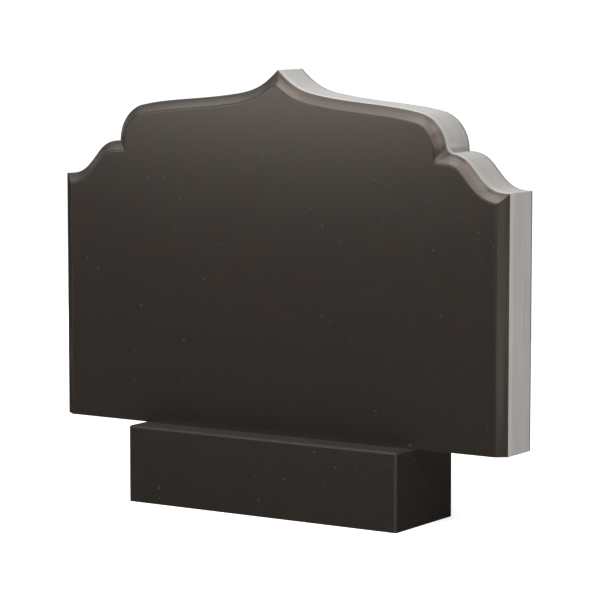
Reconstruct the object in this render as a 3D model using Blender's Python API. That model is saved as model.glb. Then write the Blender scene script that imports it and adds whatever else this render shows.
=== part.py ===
"""Upright headstone of dark stone: a shaped stele with a chamfered face, standing on a plain plinth block.

Lengths are in metres. +Z is up, the face looks along -Y, and the origin is the middle of the
plinth's underside.
"""

import math

import bmesh
import bpy
from mathutils import Vector

# The plinth block
PLINTH_WIDTH = 0.607
PLINTH_DEPTH = 0.206
PLINTH_HEIGHT = 0.150
PLINTH_ARRIS = 0.007
PLINTH_ARRIS_STEPS = 4

# The mortar bed that the stele stands on, left open between the two stones
BED_GAP = 0.0003

# The stele's slab, and how high its straight sides stand above its foot
STELE_WIDTH = 1.000
STELE_THICKNESS = 0.100
SIDE_HEIGHT = 0.480

# The crown's levels, each above the one before: notch, shoulder, foot of the peak, tip
LOBE_RISE = 0.0685
SHOULDER_RISE = 0.071
FLANK_RISE = 0.0245
PEAK_RISE = 0.049

# How far each stretch of the crown runs sideways. The flank takes what is left of the half width.
PEAK_RUN = 0.110
SHOULDER_RUN = 0.052
LOBE_RUN = 0.132

# The point where the lobe's round top turns into the hollow beside it, counted from the notch
TURN_RUN = 0.0555
TURN_DROP = 0.026

# How steeply the outline falls at each point of the crown
PEAK_FALL = math.radians(44)
FLANK_FALL = math.radians(8)
SHOULDER_FALL = math.radians(13)
TURN_FALL = math.radians(49.5)
NOTCH_WALL_FALL = math.radians(90)
LEVEL = 0.0

# How far the outline keeps to that slope, before the point and after it
PEAK_PULL_AFTER = 0.051
FLANK_PULL_BEFORE = 0.052
FLANK_PULL_AFTER = 0.077
SHOULDER_PULL_BEFORE = 0.061
SHOULDER_PULL_AFTER = 0.020
NOTCH_PULL_BEFORE = 0.044
NOTCH_PULL_AFTER = 0.027
TURN_PULL_BEFORE = 0.022
TURN_PULL_AFTER = 0.043
CORNER_PULL_BEFORE = 0.038

# Straight pieces that each curved stretch of the outline is made of
PEAK_STEPS = 12
FLANK_STEPS = 8
SHOULDER_STEPS = 14
LOBE_STEPS = 9
HOLLOW_STEPS = 10

# How often the search for a mitre's place is halved
MITRE_HALVINGS = 40

# The chamfer round the face, softened where it meets the face, and the fine arris at the back
CHAMFER_WIDTH = 0.019
CHAMFER_DEPTH = 0.014
CHAMFER_EASE_RADIUS = 0.010
CHAMFER_EASE_STEPS = 4
BACK_ARRIS = 0.0015

SHARP_ANGLE = math.radians(28)


def clear_scene():
    for thing in list(bpy.data.objects):
        bpy.data.objects.remove(thing, do_unlink=True)


def stone(name, color, roughness):
    """Makes a plain stone material."""
    material = bpy.data.materials.new(name)
    material.use_nodes = True
    shader = material.node_tree.nodes["Principled BSDF"]
    shader.inputs["Base Color"].default_value = (*color, 1.0)
    shader.inputs["Roughness"].default_value = roughness
    shader.inputs["Metallic"].default_value = 0.0
    return material


def add_object(name, work, materials):
    """Turns the worked mesh into a named object with its materials, shaded smooth between sharp edges."""
    bmesh.ops.recalc_face_normals(work, faces=work.faces)
    mesh = bpy.data.meshes.new(name)
    work.to_mesh(mesh)
    work.free()
    for material in materials:
        mesh.materials.append(material)
    mesh.shade_smooth()
    mesh.set_sharp_from_angle(angle=SHARP_ANGLE)
    thing = bpy.data.objects.new(name, mesh)
    bpy.context.scene.collection.objects.link(thing)
    return thing


def curve(start, start_fall, start_pull, end, end_fall, end_pull):
    """Gives the four points of a curve that leaves start and arrives at end at the given slopes."""
    leave = Vector((math.cos(start_fall), -math.sin(start_fall))) * start_pull
    arrive = Vector((math.cos(end_fall), -math.sin(end_fall))) * end_pull
    return start, start + leave, end - arrive, end


def crown_curves():
    """Gives the curves of the crown's right half as (x, z) points, from the peak to the corner."""
    half_width = STELE_WIDTH / 2
    notch_x = half_width - LOBE_RUN
    notch_z = SIDE_HEIGHT + LOBE_RISE
    shoulder_z = notch_z + SHOULDER_RISE
    flank_z = shoulder_z + FLANK_RISE

    peak = Vector((0.0, flank_z + PEAK_RISE))
    flank = Vector((PEAK_RUN, flank_z))
    shoulder = Vector((notch_x - SHOULDER_RUN, shoulder_z))
    notch = Vector((notch_x, notch_z))
    turn = Vector((notch_x + TURN_RUN, notch_z - TURN_DROP))
    corner = Vector((half_width, SIDE_HEIGHT))

    peak_side = curve(peak, PEAK_FALL, PEAK_PULL_AFTER, flank, FLANK_FALL, FLANK_PULL_BEFORE)
    flank_top = curve(flank, FLANK_FALL, FLANK_PULL_AFTER, shoulder, SHOULDER_FALL, SHOULDER_PULL_BEFORE)
    shoulder_round = curve(shoulder, SHOULDER_FALL, SHOULDER_PULL_AFTER,
                           notch, NOTCH_WALL_FALL, NOTCH_PULL_BEFORE)
    lobe = curve(notch, LEVEL, NOTCH_PULL_AFTER, turn, TURN_FALL, TURN_PULL_BEFORE)
    hollow = curve(turn, TURN_FALL, TURN_PULL_AFTER, corner, LEVEL, CORNER_PULL_BEFORE)
    return peak_side, flank_top, shoulder_round, lobe, hollow


def point_inside(bend, share, inset):
    """Gives the point at a share of a curve's parameter, moved square into the stone by inset."""
    a, b, c, d = bend
    rest = 1 - share
    point = a * rest**3 + b * (3 * rest**2 * share) + c * (3 * rest * share**2) + d * share**3
    along = ((b - a) * rest**2 + (c - b) * (2 * rest * share) + (d - c) * share**2).normalized()
    return point + Vector((along.y, -along.x)) * inset


def mitre_share(bend, inset, x):
    """Gives the share at which the curve, moved in by inset, crosses the upright line at x."""
    low, high = 0.0, 1.0
    for _ in range(MITRE_HALVINGS):
        middle = (low + high) / 2
        if point_inside(bend, middle, inset).x < x:
            low = middle
        else:
            high = middle
    return (low + high) / 2


def stretch(bend, inset, steps, start=0.0, end=1.0):
    """Gives the points after the first along a curve moved in by inset, between two shares of it."""
    return [point_inside(bend, start + (end - start) * step / steps, inset) for step in range(1, steps + 1)]


def half_outline(inset):
    """Gives the right half of the rim moved in by inset, from the tip of the peak to the foot."""
    peak_side, flank_top, shoulder_round, lobe, hollow = crown_curves()
    side_x = STELE_WIDTH / 2 - inset
    peak_cut = mitre_share(peak_side, inset, 0.0)
    corner_cut = mitre_share(hollow, inset, side_x)

    tip = Vector((0.0, point_inside(peak_side, peak_cut, inset).y))
    notch = shoulder_round[-1] - Vector((inset, inset))
    corner = Vector((side_x, point_inside(hollow, corner_cut, inset).y))
    foot = Vector((side_x, 0.0))

    points = [tip]
    points += stretch(peak_side, inset, PEAK_STEPS, start=peak_cut)
    points += stretch(flank_top, inset, FLANK_STEPS)
    points += stretch(shoulder_round, inset, SHOULDER_STEPS)[:-1] + [notch]
    points += stretch(lobe, inset, LOBE_STEPS)
    points += stretch(hollow, inset, HOLLOW_STEPS, end=corner_cut)[:-1] + [corner, foot]
    return points


def edge_profile():
    """Gives (inset from the rim, depth behind the face) from the face's border round to the back."""
    slope = math.atan2(CHAMFER_DEPTH, CHAMFER_WIDTH)
    border = CHAMFER_WIDTH + CHAMFER_EASE_RADIUS * math.tan(slope / 2)
    profile = []
    for step in range(CHAMFER_EASE_STEPS + 1):
        turn = slope * step / CHAMFER_EASE_STEPS
        inset = border - CHAMFER_EASE_RADIUS * math.sin(turn)
        profile.append((inset, CHAMFER_EASE_RADIUS * (1 - math.cos(turn))))
    profile.append((0.0, CHAMFER_DEPTH))
    profile.append((0.0, STELE_THICKNESS - BACK_ARRIS))
    profile.append((BACK_ARRIS, STELE_THICKNESS))
    return profile


def add_ring(work, inset, depth):
    """Adds the rim, moved in by inset, as an open row of points from the left foot to the right foot."""
    right = half_outline(inset)
    left = [Vector((-point.x, point.y)) for point in reversed(right[1:])]
    y = depth - STELE_THICKNESS / 2
    return [work.verts.new((point.x, y, point.y)) for point in left + right]


def make_stele(polished, ground):
    """Makes the slab: a chamfered face, edges ground square to it, and a flat back and foot."""
    profile = edge_profile()
    work = bmesh.new()
    rings = [add_ring(work, inset, depth) for inset, depth in profile]

    for (ring, following), (inset, _), (next_inset, _) in zip(zip(rings, rings[1:]), profile, profile[1:]):
        is_edge = inset == 0.0 and next_inset == 0.0
        for index in range(len(ring) - 1):
            face = work.faces.new((ring[index], ring[index + 1], following[index + 1], following[index]))
            face.material_index = 1 if is_edge else 0

    work.faces.new(rings[0])
    work.faces.new(rings[-1])
    left_feet = [ring[0] for ring in rings]
    right_feet = [ring[-1] for ring in reversed(rings)]
    foot = work.faces.new(left_feet + right_feet)
    foot.material_index = 1

    stele = add_object("stele", work, (polished, ground))
    stele.location = (0.0, 0.0, PLINTH_HEIGHT + BED_GAP)
    return stele


def make_plinth(polished):
    """Makes the block, with every arris softened but those it beds on."""
    work = bmesh.new()
    bmesh.ops.create_cube(work, size=1.0)
    for vert in work.verts:
        vert.co.x *= PLINTH_WIDTH
        vert.co.y *= PLINTH_DEPTH
        vert.co.z = PLINTH_HEIGHT if vert.co.z > 0 else 0.0
    soft = [edge for edge in work.edges if any(vert.co.z > 0 for vert in edge.verts)]
    bmesh.ops.bevel(work, geom=soft, offset=PLINTH_ARRIS, segments=PLINTH_ARRIS_STEPS,
                    profile=0.5, affect="EDGES", clamp_overlap=True)
    return add_object("plinth", work, (polished,))


clear_scene()
make_plinth(stone("polished plinth stone", (0.024, 0.021, 0.017), 0.22))
make_stele(stone("polished stele stone", (0.027, 0.023, 0.019), 0.22),
           stone("ground edge stone", (0.34, 0.32, 0.31), 0.6))
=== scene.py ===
"""Dresses the headstone: a polished dark stele with pale ground edges, on a polished plinth block.

Lengths are in metres. +Z is up, the face looks along -Y, and the origin is the middle of the
plinth's underside.
"""

import math

import bmesh
import bpy
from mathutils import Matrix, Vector


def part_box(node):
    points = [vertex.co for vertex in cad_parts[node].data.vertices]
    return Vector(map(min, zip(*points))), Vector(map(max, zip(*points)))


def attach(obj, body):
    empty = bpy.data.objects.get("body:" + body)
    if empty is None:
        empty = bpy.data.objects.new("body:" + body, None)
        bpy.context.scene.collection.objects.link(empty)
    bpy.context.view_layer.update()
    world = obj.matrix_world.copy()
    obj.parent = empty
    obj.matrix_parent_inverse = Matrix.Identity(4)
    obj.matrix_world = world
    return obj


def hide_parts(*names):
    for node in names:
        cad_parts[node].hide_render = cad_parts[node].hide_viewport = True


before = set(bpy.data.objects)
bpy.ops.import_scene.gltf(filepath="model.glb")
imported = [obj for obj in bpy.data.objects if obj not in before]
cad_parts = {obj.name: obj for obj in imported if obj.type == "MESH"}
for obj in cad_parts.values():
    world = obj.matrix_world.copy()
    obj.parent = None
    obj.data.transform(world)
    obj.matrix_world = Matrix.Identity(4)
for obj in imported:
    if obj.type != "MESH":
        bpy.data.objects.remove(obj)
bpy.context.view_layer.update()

# The crown's levels, each above the one before: notch, shoulder, foot of the peak, tip
LOBE_RISE = 0.0685
SHOULDER_RISE = 0.071
FLANK_RISE = 0.0245
PEAK_RISE = 0.049

# How far each stretch of the crown runs sideways. The flank takes what is left of the half width.
PEAK_RUN = 0.110
SHOULDER_RUN = 0.052
LOBE_RUN = 0.132

# The point where the lobe's round top turns into the hollow beside it, counted from the notch
TURN_RUN = 0.0555
TURN_DROP = 0.026

# How steeply the outline falls at each point of the crown
PEAK_FALL = math.radians(44)
FLANK_FALL = math.radians(8)
SHOULDER_FALL = math.radians(13)
TURN_FALL = math.radians(49.5)
NOTCH_WALL_FALL = math.radians(90)
LEVEL = 0.0

# How far the outline keeps to that slope, before the point and after it
PEAK_PULL_AFTER = 0.051
FLANK_PULL_BEFORE = 0.052
FLANK_PULL_AFTER = 0.077
SHOULDER_PULL_BEFORE = 0.061
SHOULDER_PULL_AFTER = 0.020
NOTCH_PULL_BEFORE = 0.044
NOTCH_PULL_AFTER = 0.027
TURN_PULL_BEFORE = 0.022
TURN_PULL_AFTER = 0.043
CORNER_PULL_BEFORE = 0.038

# Straight pieces that each stretch of the outline is made of
TIP_STEPS = 4
PEAK_STEPS = 36
FLANK_STEPS = 24
SHOULDER_STEPS = 32
WALL_STEPS = 6
FILLET_STEPS = 10
LIP_STEPS = 6
LOBE_STEPS = 20
HOLLOW_STEPS = 32
CORNER_STEPS = 4
SIDE_STEPS = 16

# The chamfer round the face: slightly hollow, and eased where it meets the face
CHAMFER_WIDTH = 0.019
CHAMFER_DEPTH = 0.014
CHAMFER_HOLLOW = 0.0009
CHAMFER_STEPS = 8
CHAMFER_EASE = 0.006
CHAMFER_EASE_STEPS = 6

# The paler strip behind the rim that the chamfer's cutter also passed over: its depth, the short step
# behind it, and how softly its colour ends before and after that depth
STRIP_DEPTH = 0.013
STRIP_STEP = 0.0003
STRIP_FADE_BEFORE = 0.001
STRIP_FADE_AFTER = 0.002

# The fillet that the cutter left in the right notch, at the rim and at the face's border, the far
# smaller one in the left notch, and how far beside a notch the points stand closer together
FILLET_REACH = 0.017
BORDER_FILLET_REACH = 0.008
SHARP_REACH = 0.0006
NEAR_NOTCH = 0.022

# How round the outline's own corners are: the peak's tip at the rim, the same tip at the face's
# border, and the side corner
TIP_RADIUS = 0.0004
BORDER_TIP_RADIUS = 0.022
CORNER_RADIUS = 0.0006

# The fine arrises at the rim and at the back, and the flat margin that keeps a broad face's shading true
RIM_RADIUS = 0.0006
RIM_STEPS = 3
BACK_ARRIS = 0.0015
MARGIN = 0.0012

# How far behind the rim the edge's colour turns to painted shade towards the back's arris, and how softly:
# a dark band standing in for the polished back arris mirroring the dim room
BACK_LINE = 0.0798
BACK_LINE_FADE = 0.001

# How often the search for a place on a curve is halved
HALVINGS = 40

# The plinth block's soft arrises
PLINTH_ARRIS = 0.0045
PLINTH_ARRIS_STEPS = 8

# The angle from which an edge is shaded sharp
SHARP_ANGLE = math.radians(30)

# The places of the finishes on the stele, and of the second one on the plinth
POLISHED = 0
CHAMFERED = 1
GROUND = 2
HONED = 1

# The stone's colours: the darker and paler end of each finish, and what is laid over them
POLISHED_DARK = (0.0126, 0.0104, 0.0087, 1.0)
POLISHED_PALE = (0.0174, 0.0145, 0.0124, 1.0)
POLISHED_COOL = (0.0120, 0.0128, 0.0108, 1.0)
POLISHED_WARM = (0.0190, 0.0130, 0.0106, 1.0)
POLISH_SHINE = (1.0, 0.87, 0.77, 1.0)
HONED_DARK = (0.018, 0.0155, 0.0135, 1.0)
HONED_PALE = (0.029, 0.0252, 0.0222, 1.0)
CHAMFER_DARK = (0.0037, 0.0045, 0.0045, 1.0)
CHAMFER_PALE = (0.0340, 0.0268, 0.0212, 1.0)
GROUND_DARK = (0.194, 0.182, 0.172, 1.0)
GROUND_PALE = (0.409, 0.401, 0.389, 1.0)
GROUND_STRIP = (0.52, 0.505, 0.49, 1.0)
# Painted shade, laid over the ground edge just in front of the back's arris
PAINTED_BACK_SHADE = (0.08, 0.076, 0.072, 1.0)
FLECK = (0.10, 0.095, 0.09, 1.0)

# How many of the stone's crystals, speckles, clouds and patches fit in a metre
CRYSTALS = 420.0
SPECKLES = 160.0
CLOUDS = 32.0
WARM_PATCHES = 13.0
POLISH_PATCHES = 9.0
GROUND_SPECKLES = 700.0

# How many of the wheels' marks fit in a metre along the rim, and in a metre behind it
STREAKS_ALONG = 7.0
STREAKS_BEHIND = 380.0
BANDS_ALONG = 4.0
BANDS_BEHIND = 95.0

# The draw from 0 to 1 above which a crystal turns pale, and the one at which it is palest
FLECK_START = 0.9994
FLECK_FULL = 0.9999

# The floor's size and colour, its glow near the stone and far out, and where the one turns into the other
FLOOR_RADIUS = 150.0
FLOOR_CORNERS = 96
FLOOR_COLOR = (0.82, 0.82, 0.81, 1.0)
GLOW_NEAR = (0.6, 0.6, 0.6, 1.0)
GLOW_FAR = (1.1, 1.1, 1.1, 1.0)
GLOW_START = 1.5
GLOW_END = 4.5

# The surroundings, as the camera sees them and as the stone does
SEEN_WHITE = (1.0, 1.0, 1.0, 1.0)
DIM_ROOM = (0.03, 0.03, 0.03, 1.0)

# The camera, which looks slightly down on the headstone from its right
CAMERA_LENS_MM = 175.71
CAMERA_SENSOR_MM = 36.0
CAMERA_AZIMUTH = math.radians(32.937)
CAMERA_ELEVATION = math.radians(6.503)
CAMERA_DISTANCE = 5.517
CAMERA_REACH = 400.0
CAMERA_TARGET = Vector((0.0590, -0.05, 0.4123))

# The studio's flat panels of light: name, the way each looks, two opposite corners, brightness
PANELS = (
    ("ceiling far left", "down", (-3.40, -2.30, 2.60), (-1.90, 0.60, 2.60), 1.13),
    ("ceiling front left", "down", (-3.40, -3.00, 2.60), (-1.15, -2.30, 2.60), 1.20),
    ("ceiling left", "down", (-1.90, -1.00, 2.60), (-1.15, 0.40, 2.60), 2.73),
    ("ceiling left of middle, front", "down", (-1.15, -2.30, 2.60), (-0.40, -1.00, 2.60), 3.14),
    ("ceiling left of middle, back", "down", (-1.15, -1.00, 2.60), (-0.40, 0.40, 2.60), 3.60),
    ("ceiling middle, front", "down", (-0.40, -3.00, 2.60), (0.60, -1.60, 2.60), 1.22),
    ("ceiling middle", "down", (-0.40, -1.60, 2.60), (0.60, -0.20, 2.60), 6.10),
    ("ceiling front right", "down", (0.60, -3.00, 2.60), (1.60, -1.60, 2.60), 6.70),
    ("ceiling front far right", "down", (1.60, -3.00, 2.60), (2.60, -1.60, 2.60), 2.12),
    ("ceiling right", "down", (0.60, -1.60, 2.60), (2.20, -0.20, 2.60), 4.18),
    ("ceiling back", "down", (-1.00, 0.20, 2.60), (1.00, 2.00, 2.60), 1.00),
    ("front far left, low", "back", (-2.65, -3.00, 0.60), (-1.90, -3.00, 0.85), 4.08),
    ("front left, low", "back", (-1.90, -3.00, 0.60), (-1.15, -3.00, 0.85), 5.32),
    ("front farthest left", "back", (-3.40, -3.00, 0.60), (-2.65, -3.00, 1.20), 1.00),
    ("front farthest left, high", "back", (-3.40, -3.00, 1.20), (-2.65, -3.00, 2.60), 1.60),
    ("front far left", "back", (-2.65, -3.00, 0.85), (-1.90, -3.00, 1.20), 6.55),
    ("front left", "back", (-1.90, -3.00, 0.85), (-1.15, -3.00, 1.20), 1.50),
    ("front left of middle", "back", (-1.15, -3.00, 0.85), (-0.40, -3.00, 1.20), 1.00),
    ("front left, upper", "back", (-2.65, -3.00, 1.20), (-0.40, -3.00, 1.80), 1.20),
    ("front left, high", "back", (-2.65, -3.00, 1.80), (-0.40, -3.00, 2.60), 2.00),
    ("front middle, high", "back", (-0.40, -3.00, 1.80), (1.80, -3.00, 2.60), 2.20),
    ("front middle", "back", (-0.40, -3.00, 1.00), (1.80, -3.00, 1.80), 2.13),
    ("front right", "back", (1.80, -3.00, 1.20), (2.60, -3.00, 2.60), 5.00),
    ("right high", "left", (2.60, -3.00, 1.00), (2.60, -1.60, 2.60), 3.63),
    ("right low, front", "left", (2.60, -3.00, 0.02), (2.60, -2.30, 1.00), 0.42),
    ("right low", "left", (2.60, -2.30, 0.02), (2.60, -1.60, 1.00), 0.55),
    ("right low, back", "left", (2.60, -1.60, 0.02), (2.60, -1.00, 1.00), 0.70),
    ("floor right", "up", (1.45, -2.10, 0.02), (2.60, -0.60, 0.02), 1.80),
    ("left high", "right", (-3.40, -1.00, 1.50), (-3.40, 1.00, 2.60), 0.35),
    ("left", "right", (-3.40, -1.00, 0.60), (-3.40, 1.00, 1.50), 0.60),
    ("back left", "front", (-3.40, 2.50, 1.00), (-0.40, 2.50, 2.60), 1.50),
    ("back low", "front", (-2.60, 2.50, 0.05), (0.70, 2.50, 0.90), 1.50),
    ("floor back", "up", (-2.20, 0.90, 0.02), (0.70, 2.40, 0.02), 0.80),
)
DIRECTIONS = {
    "down": Vector((0, 0, -1)),
    "up": Vector((0, 0, 1)),
    "back": Vector((0, 1, 0)),
    "front": Vector((0, -1, 0)),
    "left": Vector((-1, 0, 0)),
    "right": Vector((1, 0, 0)),
}


class Signal:
    """The output of a shader node. Python's operators on it add Math nodes to its tree."""

    def __init__(self, finish, socket):
        self.finish = finish
        self.socket = socket

    def math(self, operation, first, second):
        return self.finish.node("ShaderNodeMath", {"operation": operation}, {0: first, 1: second})

    def __add__(self, other):
        return self.math("ADD", self, other)

    def __radd__(self, other):
        return self.math("ADD", other, self)

    def __sub__(self, other):
        return self.math("SUBTRACT", self, other)

    def __rsub__(self, other):
        return self.math("SUBTRACT", other, self)

    def __mul__(self, other):
        return self.math("MULTIPLY", self, other)

    def __rmul__(self, other):
        return self.math("MULTIPLY", other, self)


class Finish:
    """The node tree of a material or of the surroundings, filled node by node."""

    def __init__(self, owner):
        owner.use_nodes = True
        self.tree = owner.node_tree
        self.tree.nodes.clear()

    def node(self, kind, settings=None, inputs=None, output=0):
        """Adds a node, sets it up, fills or links its sockets, and returns one of its outputs."""
        node = self.tree.nodes.new(kind)
        for name, value in (settings or {}).items():
            setattr(node, name, value)
        for name, value in (inputs or {}).items():
            if isinstance(value, Signal):
                self.tree.links.new(value.socket, node.inputs[name])
            else:
                node.inputs[name].default_value = value
        return Signal(self, node.outputs[output]) if node.outputs else None

    def mix(self, factor, first, second):
        """Mixes two colours."""
        settings = {"data_type": "RGBA"}
        return self.node("ShaderNodeMix", settings, {0: factor, 6: first, 7: second}, output=2)

    def noise(self, place, scale, detail):
        """Cloudy noise from 0 to 1."""
        inputs = {"Vector": place, "Scale": scale, "Detail": detail, "Roughness": 0.55}
        return self.node("ShaderNodeTexNoise", {}, inputs, output="Fac")

    def fade(self, value, start, end):
        """Rises smoothly from 0 at start to 1 at end."""
        settings = {"interpolation_type": "SMOOTHSTEP"}
        inputs = {"Value": value, "From Min": start, "From Max": end}
        return self.node("ShaderNodeMapRange", settings, inputs)

    def bump(self, height, distance):
        """Raises the surface by height times distance."""
        inputs = {"Height": height, "Distance": distance, "Strength": 1.0}
        return self.node("ShaderNodeBump", {}, inputs)

    def surface(self, **sockets):
        """Ends the tree in a Principled shader with these sockets."""
        inputs = {}
        for name, value in sockets.items():
            inputs[name.replace("_", " ").title().replace("Ior", "IOR")] = value
        shader = self.node("ShaderNodeBsdfPrincipled", {}, inputs)
        self.node("ShaderNodeOutputMaterial", {}, {"Surface": shader})


def grain(finish, place):
    """The dark stone's crystals and clouds. Returns their mottling and a few pale flecks, both 0 to 1."""
    crystals = finish.node("ShaderNodeTexVoronoi", {}, {"Vector": place, "Scale": CRYSTALS}, output="Color")
    shade = finish.node("ShaderNodeSeparateColor", {}, {"Color": crystals}, output="Red")
    speckle = finish.noise(place, SPECKLES, 3.0)
    clouds = finish.noise(place, CLOUDS, 2.0)
    mottling = shade * 0.16 + speckle * 0.34 + clouds * 0.50
    rarity = finish.node("ShaderNodeSeparateColor", {}, {"Color": crystals}, output="Green")
    flecks = finish.fade(rarity, FLECK_START, FLECK_FULL)
    return mottling, flecks


def lanes(finish):
    """The marks that the wheels left along the rim. Returns fine streaks and broad bands, 0 to 1."""
    along = finish.node("ShaderNodeAttribute", {"attribute_name": "along_rim"}, {}, output="Fac")
    behind = finish.node("ShaderNodeAttribute", {"attribute_name": "behind_rim"}, {}, output="Fac")
    fine_place = {"X": along * STREAKS_ALONG, "Y": behind * STREAKS_BEHIND}
    fine = finish.node("ShaderNodeCombineXYZ", {}, fine_place)
    broad_place = {"X": along * BANDS_ALONG, "Y": behind * BANDS_BEHIND}
    broad = finish.node("ShaderNodeCombineXYZ", {}, broad_place)
    return finish.noise(fine, 1.0, 3.0), finish.noise(broad, 1.0, 2.0)


def polished_stone(name):
    """Near-black gabbro with a soft polish, a little cloudy and faintly warmer in patches."""
    material = bpy.data.materials.new(name)
    finish = Finish(material)
    place = finish.node("ShaderNodeTexCoord", {}, {}, output="Object")
    mottling, flecks = grain(finish, place)
    drift = finish.noise(place, POLISH_PATCHES, 2.0)
    warmth = finish.fade(finish.noise(place, WARM_PATCHES, 1.0), 0.38, 0.62)
    tint = finish.mix(warmth, POLISHED_COOL, POLISHED_WARM)
    color = finish.mix(mottling, POLISHED_DARK, POLISHED_PALE)
    color = finish.mix(0.14, color, tint)
    color = finish.mix(flecks * 0.5, color, FLECK)
    roughness = 0.195 + mottling * 0.02 + drift * 0.03
    skin = finish.bump(mottling, 0.000012)
    finish.surface(base_color=color, roughness=roughness, normal=skin, specular_tint=POLISH_SHINE)
    return material


def honed_stone(name):
    """The same stone rubbed smooth but not polished, a little paler and much duller."""
    material = bpy.data.materials.new(name)
    finish = Finish(material)
    place = finish.node("ShaderNodeTexCoord", {}, {}, output="Object")
    mottling, flecks = grain(finish, place)
    color = finish.mix(mottling, HONED_DARK, HONED_PALE)
    color = finish.mix(flecks * 0.5, color, FLECK)
    roughness = 0.48 + mottling * 0.06
    skin = finish.bump(mottling, 0.00002)
    finish.surface(base_color=color, roughness=roughness, normal=skin, specular_ior_level=0.22)
    return material


def chamfer_stone(name):
    """The same stone where the chamfer's polish keeps soft streaks along its length."""
    material = bpy.data.materials.new(name)
    finish = Finish(material)
    place = finish.node("ShaderNodeTexCoord", {}, {}, output="Object")
    mottling, flecks = grain(finish, place)
    streaks, bands = lanes(finish)
    tone = mottling * 0.15 + streaks * 0.42 + bands * 0.43
    color = finish.mix(tone, CHAMFER_DARK, CHAMFER_PALE)
    color = finish.mix(flecks * 0.5, color, FLECK)
    roughness = 0.17 + bands * 0.10 + streaks * 0.06
    skin = finish.bump(streaks * 0.25 + bands * 0.75, 0.0006)
    finish.surface(base_color=color, roughness=roughness, normal=skin, specular_tint=POLISH_SHINE)
    return material


def ground_edge(name):
    """The stele's edges, ground matt: pale grey with marks along the edge, a paler strip in front and a
    band of painted shade towards the back.
    """
    material = bpy.data.materials.new(name)
    finish = Finish(material)
    place = finish.node("ShaderNodeTexCoord", {}, {}, output="Object")
    streaks, bands = lanes(finish)
    behind = finish.node("ShaderNodeAttribute", {"attribute_name": "behind_rim"}, {}, output="Fac")
    speckle = finish.noise(place, GROUND_SPECKLES, 2.0)
    strip = 1 - finish.fade(behind, STRIP_DEPTH - STRIP_FADE_BEFORE, STRIP_DEPTH + STRIP_FADE_AFTER)
    # Painted shade: a dark band before the back's arris, standing in for the polished arris mirroring the
    # dim room
    painted_shade_band = finish.fade(behind, BACK_LINE, BACK_LINE + BACK_LINE_FADE)
    tone = streaks * 0.4 + bands * 0.45 + speckle * 0.15
    color = finish.mix(tone, GROUND_DARK, GROUND_PALE)
    color = finish.mix(strip * 0.22, color, GROUND_STRIP)
    color = finish.mix(painted_shade_band * 0.95, color, PAINTED_BACK_SHADE)
    roughness = 0.54 + streaks * 0.1 - strip * 0.16
    skin = finish.bump(streaks * 0.6 + speckle * 0.4, 0.00005)
    finish.surface(base_color=color, roughness=roughness, normal=skin)
    return material


def curve(start, start_fall, start_pull, end, end_fall, end_pull):
    """Gives the four points of a curve that leaves start and arrives at end at the given slopes."""
    leave = Vector((math.cos(start_fall), -math.sin(start_fall))) * start_pull
    arrive = Vector((math.cos(end_fall), -math.sin(end_fall))) * end_pull
    return start, start + leave, end - arrive, end


def crown_curves(half_width, height):
    """Gives the curves of the crown's right half as (x, z) points, from the peak to the corner."""
    notch_x = half_width - LOBE_RUN
    flank_z = height - PEAK_RISE
    shoulder_z = flank_z - FLANK_RISE
    notch_z = shoulder_z - SHOULDER_RISE
    corner_z = notch_z - LOBE_RISE

    peak = Vector((0.0, height))
    flank = Vector((PEAK_RUN, flank_z))
    shoulder = Vector((notch_x - SHOULDER_RUN, shoulder_z))
    notch = Vector((notch_x, notch_z))
    turn = Vector((notch_x + TURN_RUN, notch_z - TURN_DROP))
    corner = Vector((half_width, corner_z))

    peak_side = curve(peak, PEAK_FALL, PEAK_PULL_AFTER, flank, FLANK_FALL, FLANK_PULL_BEFORE)
    flank_top = curve(flank, FLANK_FALL, FLANK_PULL_AFTER, shoulder, SHOULDER_FALL, SHOULDER_PULL_BEFORE)
    shoulder_round = curve(shoulder, SHOULDER_FALL, SHOULDER_PULL_AFTER,
                           notch, NOTCH_WALL_FALL, NOTCH_PULL_BEFORE)
    lobe = curve(notch, LEVEL, NOTCH_PULL_AFTER, turn, TURN_FALL, TURN_PULL_BEFORE)
    hollow = curve(turn, TURN_FALL, TURN_PULL_AFTER, corner, LEVEL, CORNER_PULL_BEFORE)
    return peak_side, flank_top, shoulder_round, lobe, hollow


def point_inside(bend, share, inset):
    """Gives the point at a share of a curve's parameter, moved square into the stone by inset."""
    a, b, c, d = bend
    rest = 1 - share
    point = a * rest**3 + b * (3 * rest**2 * share) + c * (3 * rest * share**2) + d * share**3
    along = ((b - a) * rest**2 + (c - b) * (2 * rest * share) + (d - c) * share**2).normalized()
    return point + Vector((along.y, -along.x)) * inset


def share_where(bend, inset, passed):
    """Gives the share at which a curve, moved in by inset, first passes a line."""
    low, high = 0.0, 1.0
    for _ in range(HALVINGS):
        middle = (low + high) / 2
        if passed(point_inside(bend, middle, inset)):
            high = middle
        else:
            low = middle
    return high


def stretch(bend, inset, start, end, steps):
    """Gives the points after the first along a curve moved in by inset, between two shares of it."""
    return [point_inside(bend, start + (end - start) * step / steps, inset) for step in range(1, steps + 1)]


def arc(centre, start, end_angle, steps):
    """Gives the points after start round an arc to end_angle, counted clockwise from straight up."""
    spoke = start - centre
    start_angle = math.atan2(spoke.x, spoke.y)
    points = []
    for step in range(1, steps + 1):
        angle = start_angle + (end_angle - start_angle) * step / steps
        points.append(centre + Vector((math.sin(angle), math.cos(angle))) * spoke.length)
    return points


def tip_of_peak(peak_side, inset, tip_radius):
    """Gives the peak's rounded tip, and the share at which the curve beside it takes over."""
    centre_inset = inset + tip_radius
    share = share_where(peak_side, centre_inset, lambda point: point.x > 0.0)
    centre = Vector((0.0, point_inside(peak_side, share, centre_inset).y))
    tip = centre + Vector((0.0, tip_radius))
    side = point_inside(peak_side, share, inset) - centre
    return [tip] + arc(centre, tip, math.atan2(side.x, side.y), TIP_STEPS), share


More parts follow.
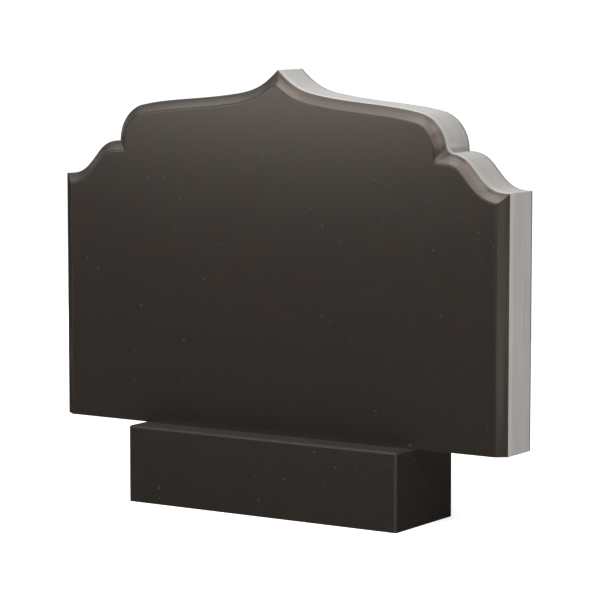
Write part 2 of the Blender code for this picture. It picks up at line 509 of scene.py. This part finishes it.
def shoulder_to_lobe(shoulder_round, lobe, inset, reach):
    """Gives the points over the shoulder, through the notch with its fillet, and over the lobe."""
    rim_notch = lobe[0]
    notch = rim_notch - Vector((inset, inset))
    wall_far = share_where(shoulder_round, 0.0, lambda point: point.y < rim_notch.y + NEAR_NOTCH)
    lip_far = share_where(lobe, 0.0, lambda point: point.x > rim_notch.x + NEAR_NOTCH)
    if reach > inset:
        wall_near = share_where(shoulder_round, inset, lambda point: point.y < notch.y + reach)
        lip_near = share_where(lobe, inset, lambda point: point.x > notch.x + reach)
        wall_end = point_inside(shoulder_round, wall_near, inset)
        lip_start = point_inside(lobe, lip_near, inset)
    else:
        wall_near, lip_near = 1.0, 0.0
        wall_end = notch + Vector((0.0, reach))
        lip_start = notch + Vector((reach, 0.0))

    points = stretch(shoulder_round, inset, 0.0, wall_far, SHOULDER_STEPS)
    points += stretch(shoulder_round, inset, wall_far, wall_near, WALL_STEPS)[:-1] + [wall_end]
    for step in range(1, FILLET_STEPS + 1):
        share = step / FILLET_STEPS
        points.append(wall_end.lerp(notch, share).lerp(notch.lerp(lip_start, share), share))
    points += stretch(lobe, inset, lip_near, lip_far, LIP_STEPS)
    points += stretch(lobe, inset, lip_far, 1.0, LOBE_STEPS)
    return points


def hollow_to_foot(hollow, inset):
    """Gives the points along the hollow, round the softened side corner and down the side."""
    side_x = hollow[-1].x - inset
    centre_inset = inset + CORNER_RADIUS
    share = share_where(hollow, centre_inset, lambda point: point.x > side_x - CORNER_RADIUS)
    centre = point_inside(hollow, share, centre_inset)
    points = stretch(hollow, inset, 0.0, share, HOLLOW_STEPS)
    points += arc(centre, points[-1], math.pi / 2, CORNER_STEPS)
    points[-1].x = side_x
    side_top = points[-1] - Vector((0.0, MARGIN))
    foot = Vector((side_x, 0.0))
    return points + [side_top.lerp(foot, step / SIDE_STEPS) for step in range(SIDE_STEPS + 1)]


def half_ring(crown, inset, tip_radius, notch_reach):
    """Gives the right half of the rim moved in by inset, from the peak to the foot, corners softened."""
    peak_side, flank_top, shoulder_round, lobe, hollow = crown
    points, tip_share = tip_of_peak(peak_side, inset, tip_radius)
    points += stretch(peak_side, inset, tip_share, 1.0, PEAK_STEPS)
    points += stretch(flank_top, inset, 0.0, 1.0, FLANK_STEPS)
    points += shoulder_to_lobe(shoulder_round, lobe, inset, notch_reach)
    return points + hollow_to_foot(hollow, inset)


def chamfer_profile():
    """Gives (inset from the rim, depth behind the face) across the chamfer, from face to rim."""
    slope = math.atan2(CHAMFER_DEPTH, CHAMFER_WIDTH)
    length = math.hypot(CHAMFER_DEPTH, CHAMFER_WIDTH)
    down = Vector((-CHAMFER_WIDTH, CHAMFER_DEPTH)) / length
    into = Vector((CHAMFER_DEPTH, CHAMFER_WIDTH)) / length
    ease_reach = CHAMFER_EASE * math.tan(slope / 2)
    rim_reach = RIM_RADIUS * math.tan((math.pi / 2 - slope) / 2)
    profile = []
    for step in range(CHAMFER_EASE_STEPS):
        turn = slope * step / CHAMFER_EASE_STEPS
        inset = CHAMFER_WIDTH + ease_reach - CHAMFER_EASE * math.sin(turn)
        profile.append(Vector((inset, CHAMFER_EASE * (1 - math.cos(turn)))))
    start = Vector((CHAMFER_WIDTH, 0.0)) + down * ease_reach
    end = Vector((0.0, CHAMFER_DEPTH)) - down * rim_reach
    for step in range(CHAMFER_STEPS + 1):
        share = step / CHAMFER_STEPS
        hollow = CHAMFER_HOLLOW * 4 * share * (1 - share)
        profile.append(start.lerp(end, share) + into * hollow)
    return profile


def rim_profile():
    """Gives (inset, depth) round the rim, after the chamfer's last point."""
    slope = math.atan2(CHAMFER_DEPTH, CHAMFER_WIDTH)
    rim_reach = RIM_RADIUS * math.tan((math.pi / 2 - slope) / 2)
    profile = []
    for step in range(1, RIM_STEPS + 1):
        turn = slope + (math.pi / 2 - slope) * step / RIM_STEPS
        inset = RIM_RADIUS * (1 - math.sin(turn))
        profile.append(Vector((inset, CHAMFER_DEPTH + rim_reach - RIM_RADIUS * math.cos(turn))))
    return profile


def edge_profile(thickness):
    """Gives the profile over the edge as lists: polished front, strip, rest and polished back."""
    chamfer = chamfer_profile()
    front = [chamfer[0] + Vector((MARGIN, 0.0))] + chamfer + rim_profile()
    rim_depth = front[-1].y
    strip_end = CHAMFER_DEPTH + STRIP_DEPTH
    back_start = thickness - BACK_ARRIS
    rest_depths = (strip_end + STRIP_STEP, back_start - MARGIN, back_start)
    strip = [Vector((0.0, depth)) for depth in (rim_depth + MARGIN, strip_end)]
    rest = [Vector((0.0, depth)) for depth in rest_depths]
    back = [Vector((BACK_ARRIS, thickness)), Vector((BACK_ARRIS + MARGIN, thickness))]
    return front, strip, rest, back


def distances(points):
    """Gives the distance along a row of points to each of them."""
    reached = [0.0]
    for before, after in zip(points, points[1:]):
        reached.append(reached[-1] + (after - before).length)
    return reached


def add_piece(name, work, materials):
    """Turns the worked mesh into a named object with its materials, shaded smooth between sharp edges."""
    bmesh.ops.recalc_face_normals(work, faces=work.faces)
    mesh = bpy.data.meshes.new(name)
    work.to_mesh(mesh)
    work.free()
    for material in materials:
        mesh.materials.append(material)
    mesh.shade_smooth()
    mesh.set_sharp_from_angle(angle=SHARP_ANGLE)
    piece = bpy.data.objects.new(name, mesh)
    bpy.context.scene.collection.objects.link(piece)
    return piece


def softness(place, is_front):
    """Gives the tip's radius and the right notch's fillet for a ring at that place of the profile."""
    if not is_front:
        return TIP_RADIUS, SHARP_REACH
    share = min(place.x / CHAMFER_WIDTH, 1.0)
    tip_radius = TIP_RADIUS + (BORDER_TIP_RADIUS - TIP_RADIUS) * share
    return tip_radius, FILLET_REACH + (BORDER_FILLET_REACH - FILLET_REACH) * share


def add_rings(work, crown, profile, rim_number, strip_end, origin):
    """Adds a ring of points for each place of the profile, with its distances along and behind the rim."""
    across = distances(profile)
    along = distances(half_ring(crown, 0.0, *softness(profile[rim_number], True)))
    along_layer = work.verts.layers.float.new("along_rim")
    behind_layer = work.verts.layers.float.new("behind_rim")
    rings = []
    for number, (place, reached) in enumerate(zip(profile, across)):
        tip_radius, notch_reach = softness(place, number < strip_end)
        left = list(zip(half_ring(crown, place.x, tip_radius, SHARP_REACH), along))
        right = list(zip(half_ring(crown, place.x, tip_radius, notch_reach), along))
        row = [(-point.x, point.y, -run) for point, run in reversed(left[1:])]
        row += [(point.x, point.y, run) for point, run in right]
        ring = []
        for x, z, run in row:
            vert = work.verts.new(origin + Vector((x, place.y, z)))
            vert[along_layer] = run
            vert[behind_layer] = reached - across[rim_number]
            ring.append(vert)
        rings.append(ring)
    return rings


def add_skin(work, rings, first_edge, last_edge):
    """Joins the rings, with the ground finish between two of them, and adds the face, back and foot."""
    for number, (ring, following) in enumerate(zip(rings, rings[1:])):
        if number < first_edge:
            finish_index = CHAMFERED
        elif number < last_edge:
            finish_index = GROUND
        else:
            finish_index = POLISHED
        for index in range(len(ring) - 1):
            corners = (ring[index], ring[index + 1], following[index + 1], following[index])
            work.faces.new(corners).material_index = finish_index
    work.faces.new(rings[0])
    work.faces.new(rings[-1])
    foot = work.faces.new([ring[0] for ring in rings] + [ring[-1] for ring in reversed(rings)])
    foot.material_index = GROUND


def make_stele(low, high, polished, chamfered, ground):
    """Makes the slab in the place of the plain one, with its face, chamfer, edges, back and foot."""
    crown = crown_curves((high.x - low.x) / 2, high.z - low.z)
    front, strip, rest, back = edge_profile(high.y - low.y)
    profile = front + strip + rest + back
    rim_number = len(front) - 1
    strip_end = len(front) + len(strip)
    last_edge = strip_end + len(rest) - 1
    origin = Vector(((low.x + high.x) / 2, low.y, low.z))

    work = bmesh.new()
    rings = add_rings(work, crown, profile, rim_number, strip_end, origin)
    add_skin(work, rings, rim_number, last_edge)
    return add_piece("stele_dressed", work, (polished, chamfered, ground))


def make_plinth(low, high, polished, honed):
    """Makes the block in the place of the plain one, with a honed top and honed round arrises."""
    work = bmesh.new()
    bmesh.ops.create_cube(work, size=1.0)
    size = high - low
    middle = (low + high) / 2
    for vert in work.verts:
        vert.co = middle + Vector(vert.co) * size
    soft = [edge for edge in work.edges if any(vert.co.z > middle.z for vert in edge.verts)]
    bevel = bmesh.ops.bevel(work, geom=soft, offset=PLINTH_ARRIS, segments=PLINTH_ARRIS_STEPS,
                            profile=0.5, affect="EDGES", clamp_overlap=True)
    top = [face for face in work.faces if face.calc_center_median().z > high.z - PLINTH_ARRIS / 2]
    for face in bevel["faces"] + top:
        face.material_index = HONED
    return add_piece("plinth_dressed", work, (polished, honed))


def add_floor():
    """A plain pale floor, far wider than the view. It glows a little, and more beyond the lights' reach."""
    material = bpy.data.materials.new("pale floor")
    finish = Finish(material)
    place = finish.node("ShaderNodeTexCoord", {}, {}, output="Object")
    reach = finish.node("ShaderNodeVectorMath", {"operation": "LENGTH"}, {0: place}, output="Value")
    glow = finish.mix(finish.fade(reach, GLOW_START, GLOW_END), GLOW_NEAR, GLOW_FAR)
    finish.surface(base_color=FLOOR_COLOR, roughness=0.9, specular_ior_level=0.0,
                   emission_color=glow, emission_strength=1.0)
    work = bmesh.new()
    bmesh.ops.create_circle(work, cap_ends=True, segments=FLOOR_CORNERS, radius=FLOOR_RADIUS)
    floor = add_piece("floor", work, (material,))
    floor.visible_glossy = False


def add_panel(name, way, first, last, brightness):
    """Adds a flat panel of even light between two opposite corners."""
    span = Vector(last) - Vector(first)
    data = bpy.data.lights.new(name, "AREA")
    data.shape = "RECTANGLE"
    data.size = span.y if way in ("left", "right") else span.x
    data.size_y = span.y if way in ("down", "up") else span.z
    data.energy = brightness * math.pi * data.size * data.size_y
    light = bpy.data.objects.new(name, data)
    light.location = (Vector(first) + Vector(last)) / 2
    light.rotation_euler = DIRECTIONS[way].to_track_quat("-Z", "Y").to_euler()
    light.visible_camera = False
    bpy.context.scene.collection.objects.link(light)


def add_surroundings():
    """White where the camera sees it, and a dim room for the stone to mirror."""
    world = bpy.data.worlds.new("studio")
    bpy.context.scene.world = world
    finish = Finish(world)
    seen = finish.node("ShaderNodeLightPath", {}, {}, output="Is Camera Ray")
    color = finish.mix(seen, DIM_ROOM, SEEN_WHITE)
    background = finish.node("ShaderNodeBackground", {}, {"Color": color, "Strength": 1.0})
    finish.node("ShaderNodeOutputWorld", {}, {"Surface": background})


def add_camera():
    """Adds the camera at the photograph's angle, without any shift or blur."""
    data = bpy.data.cameras.new("camera")
    data.lens = CAMERA_LENS_MM
    data.sensor_width = CAMERA_SENSOR_MM
    data.clip_end = CAMERA_REACH
    camera = bpy.data.objects.new("camera", data)
    level = math.cos(CAMERA_ELEVATION)
    back = Vector((math.sin(CAMERA_AZIMUTH) * level, -math.cos(CAMERA_AZIMUTH) * level, 0.0))
    back.z = math.sin(CAMERA_ELEVATION)
    camera.location = CAMERA_TARGET + back * CAMERA_DISTANCE
    camera.rotation_euler = back.to_track_quat("Z", "Y").to_euler()
    bpy.context.scene.collection.objects.link(camera)
    bpy.context.scene.camera = camera


stele = make_stele(*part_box("stele"), polished_stone("polished face"),
                   chamfer_stone("polished chamfer"), ground_edge("ground edge"))
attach(stele, "root")
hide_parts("stele")

plinth = make_plinth(*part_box("plinth"), polished_stone("polished plinth"), honed_stone("honed top"))
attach(plinth, "root")
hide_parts("plinth")

add_floor()
add_surroundings()
for panel in PANELS:
    add_panel(*panel)
add_camera()
bpy.context.scene.view_settings.view_transform = "Standard"
